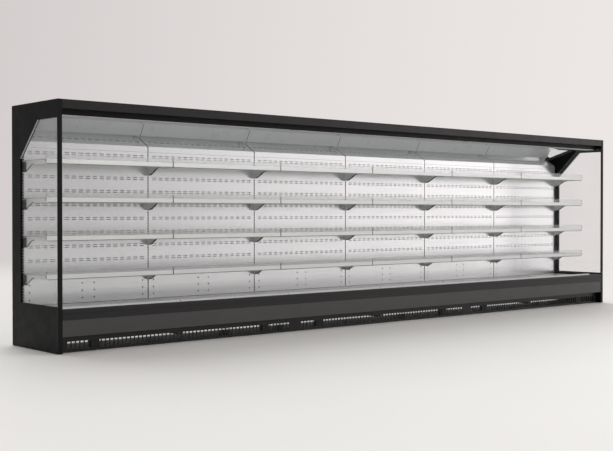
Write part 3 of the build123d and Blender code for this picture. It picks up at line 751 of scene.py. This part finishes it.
def bracket_bands(level):
    """A dark band along the soft haunch of each bracket."""
    corners = [vertex.co for vertex in nodes[f"level_{level}_brackets"].data.vertices]
    low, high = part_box(f"level_{level}_brackets")
    arm_bottom = max(point.z for point in corners if point.z < high.z - BRACKET_DEPTH / 3 and point.y < 0)
    sides = sorted({round(point.x, 5) for point in corners if abs(point.y - low.y) < PROUD})

    def bands(shape):
        for left, right in zip(sides[::2], sides[1::2]):
            curve = sorted({(round(point.y, 5), round(point.z, 5)) for point in corners
                            if abs(point.x - left) < PROUD and point.z <= arm_bottom + PROUD
                            and low.y + PROUD < point.y < WALL - BRACKET_ROOT})
            outline = [(0, y, z) for y, z in curve]
            outline += [(0, y + EDGE_BAND / 2, z + EDGE_BAND) for y, z in curve[::-1]]
            prism(shape, outline, (left - PROUD, 0, 0), (right + PROUD, 0, 0))

    piece = piece_of(f"level_{level}_bracket_bands", mesh_of("bands", bands))
    wear(piece, finishes["black_plastic"])
    return dress(piece, f"shelf_level_{level}")


for level in LEVELS:
    bracket_bands(level)


# ---- stage, camera and light ----

# Under the cabinet the floor has a dark patch of painted shade and, behind it, a strip that glows faintly:
# painted light in place of light that comes through under the rear wall.
FLOOR_REACH = 60.0
FLOOR_FADE_START = 7.5
FLOOR_FADE_END = 17.0
KICK_FACE = -0.335
LIT_FROM = 0.21
LIT_TO = 0.40
REAR_GLOW = 0.38


def under_cabinet(material, front, rear, fade):
    """One on the floor under the cabinet between two depths, falling to zero over a length."""
    tree = material.node_tree
    from_middle = worked(tree, "ABSOLUTE", place_axis(material, "X"))
    beside = ramp(material, from_middle, INNER_END - fade, INNER_END, 1.0, 0.0)
    depth = place_axis(material, "Y")
    past_front = ramp(material, depth, front, front + fade, 0.0, 1.0)
    before_rear = ramp(material, depth, rear - fade, rear, 1.0, 0.0)
    return worked(tree, "MULTIPLY", worked(tree, "MULTIPLY", beside, past_front), before_rear)


def floor():
    """A pale floor that fades into the backdrop, so that no horizon shows."""
    mesh = mesh_of("floor", lambda shape: bmesh.ops.create_grid(shape, size=FLOOR_REACH))
    plane = piece_of("floor", mesh)
    material = new_finish("pale_floor", colour(232, 233, 230), 0.55, Specular_IOR_Level=0.2)
    shade(material, grain(material, 0.9, detail=4.0), colour(230, 231, 228), colour(234, 235, 232))
    relief(material, grain(material, 40.0), 0.0004)
    tree = material.node_tree
    # painted shade on the floor under the cabinet
    shadowed = under_cabinet(material, KICK_FACE, LIT_FROM, 0.02)
    mark(material, shadowed, colour(40, 40, 39))
    # painted light: the strip behind the patch glows
    lit = ramp(material, under_cabinet(material, LIT_FROM, LIT_TO, 0.03), 0.0, 1.0, 0.0, REAR_GLOW)
    shader_of(material).inputs["Emission Color"].default_value = colour(232, 233, 230)
    tree.links.new(lit, shader_of(material).inputs["Emission Strength"])
    reach = tree.nodes.new("ShaderNodeVectorMath")
    reach.operation = "LENGTH"
    tree.links.new(place_of(material), reach.inputs[0])
    near = smooth_range(tree, reach.outputs["Value"], FLOOR_FADE_START, FLOOR_FADE_END, 1.0, 0.0)
    tree.links.new(near, shader_of(material).inputs["Alpha"])
    wear(plane, material)


CAMERA_PLACE = (-7.8765, -8.1640, 1.1403)
CAMERA_YAW = 40.881
CAMERA_PITCH = 0.702
CAMERA_LENS = 62.77
SENSOR = 36.0


def camera():
    """The photo's camera, as worked out from the corners of the cabinet."""
    data = bpy.data.cameras.new("camera")
    data.lens = CAMERA_LENS
    data.sensor_width = SENSOR
    data.sensor_fit = "HORIZONTAL"
    data.clip_end = 200
    eye = bpy.data.objects.new("camera", data)
    eye.location = CAMERA_PLACE
    eye.rotation_euler = (math.radians(90 - CAMERA_PITCH), 0, -math.radians(CAMERA_YAW))
    bpy.context.scene.collection.objects.link(eye)
    bpy.context.scene.camera = eye


BACKDROP_LEFT = colour(205, 200, 199)
BACKDROP_RIGHT = colour(238, 232, 231)
DIM_LEFT = 0.5
FRONT_GAIN_LEFT = 0.84
FRONT_GAIN_RIGHT = 2.1
OVERHEAD_GAIN = 1.25


def surroundings():
    """An even studio: brighter to the right, in front and overhead, and dimmer to the left."""
    world = bpy.data.worlds.new("studio")
    world.use_nodes = True
    tree = world.node_tree
    place = tree.nodes.new("ShaderNodeTexCoord")
    split = tree.nodes.new("ShaderNodeSeparateXYZ")
    tree.links.new(place.outputs["Generated"], split.inputs["Vector"])
    rightward = smooth_range(tree, split.outputs["X"], 0.2, 0.95, 0.0, 1.0)
    mix = colour_mix(tree, rightward, BACKDROP_LEFT, BACKDROP_RIGHT)
    tree.links.new(mix.outputs["Result"], tree.nodes["Background"].inputs["Color"])
    strength = smooth_range(tree, split.outputs["X"], -0.9, 0.3, DIM_LEFT, 1.0)
    # the gain in front is not one number, but grows from left to right
    front = smooth_range(tree, split.outputs["Y"], 0.1, -0.6, 1.0, 1.0)
    front_gain = smooth_range(tree, split.outputs["X"], 0.42, 0.82, FRONT_GAIN_LEFT, FRONT_GAIN_RIGHT)
    tree.links.new(front_gain, front.node.inputs["To Max"])
    overhead = smooth_range(tree, split.outputs["Z"], 0.25, 0.8, 1.0, OVERHEAD_GAIN)
    for gain in (front, overhead):
        strength = worked(tree, "MULTIPLY", strength, gain)
    tree.links.new(strength, tree.nodes["Background"].inputs["Strength"])
    bpy.context.scene.world = world


def soft_box(name, place, target, width, height, power):
    """A lamp of a width and height that faces a target, and that shows in no reflection."""
    data = bpy.data.lights.new(name, "AREA")
    data.shape = "RECTANGLE"
    data.size = width
    data.size_y = height
    data.energy = power
    lamp = bpy.data.objects.new(name, data)
    lamp.visible_glossy = False
    lamp.location = place
    lamp.rotation_euler = (Vector(target) - Vector(place)).to_track_quat("-Z", "Y").to_euler()
    bpy.context.scene.collection.objects.link(lamp)


def high_light(towards, spread, strength):
    """Even light from one side of the sky, wide enough for soft shadows."""
    data = bpy.data.lights.new("high_light", "SUN")
    data.angle = math.radians(spread)
    data.energy = strength
    lamp = bpy.data.objects.new("high_light", data)
    lamp.visible_glossy = False
    lamp.rotation_euler = (-Vector(towards)).to_track_quat("-Z", "Y").to_euler()
    bpy.context.scene.collection.objects.link(lamp)


floor()
camera()
surroundings()
high_light(towards=(0.5, 2.2, 3.0), spread=45.0, strength=1.4)
soft_box("canopy_glow", place=(0.0, -0.20, 1.78), target=(0.0, 0.25, 1.35),
         width=7.2, height=0.12, power=4.5)
soft_box("front", place=(2.0, -8.0, 4.0), target=(0.5, 0.0, 1.0),
         width=8.0, height=2.5, power=120.0)
bpy.context.scene.view_settings.view_transform = "Standard"
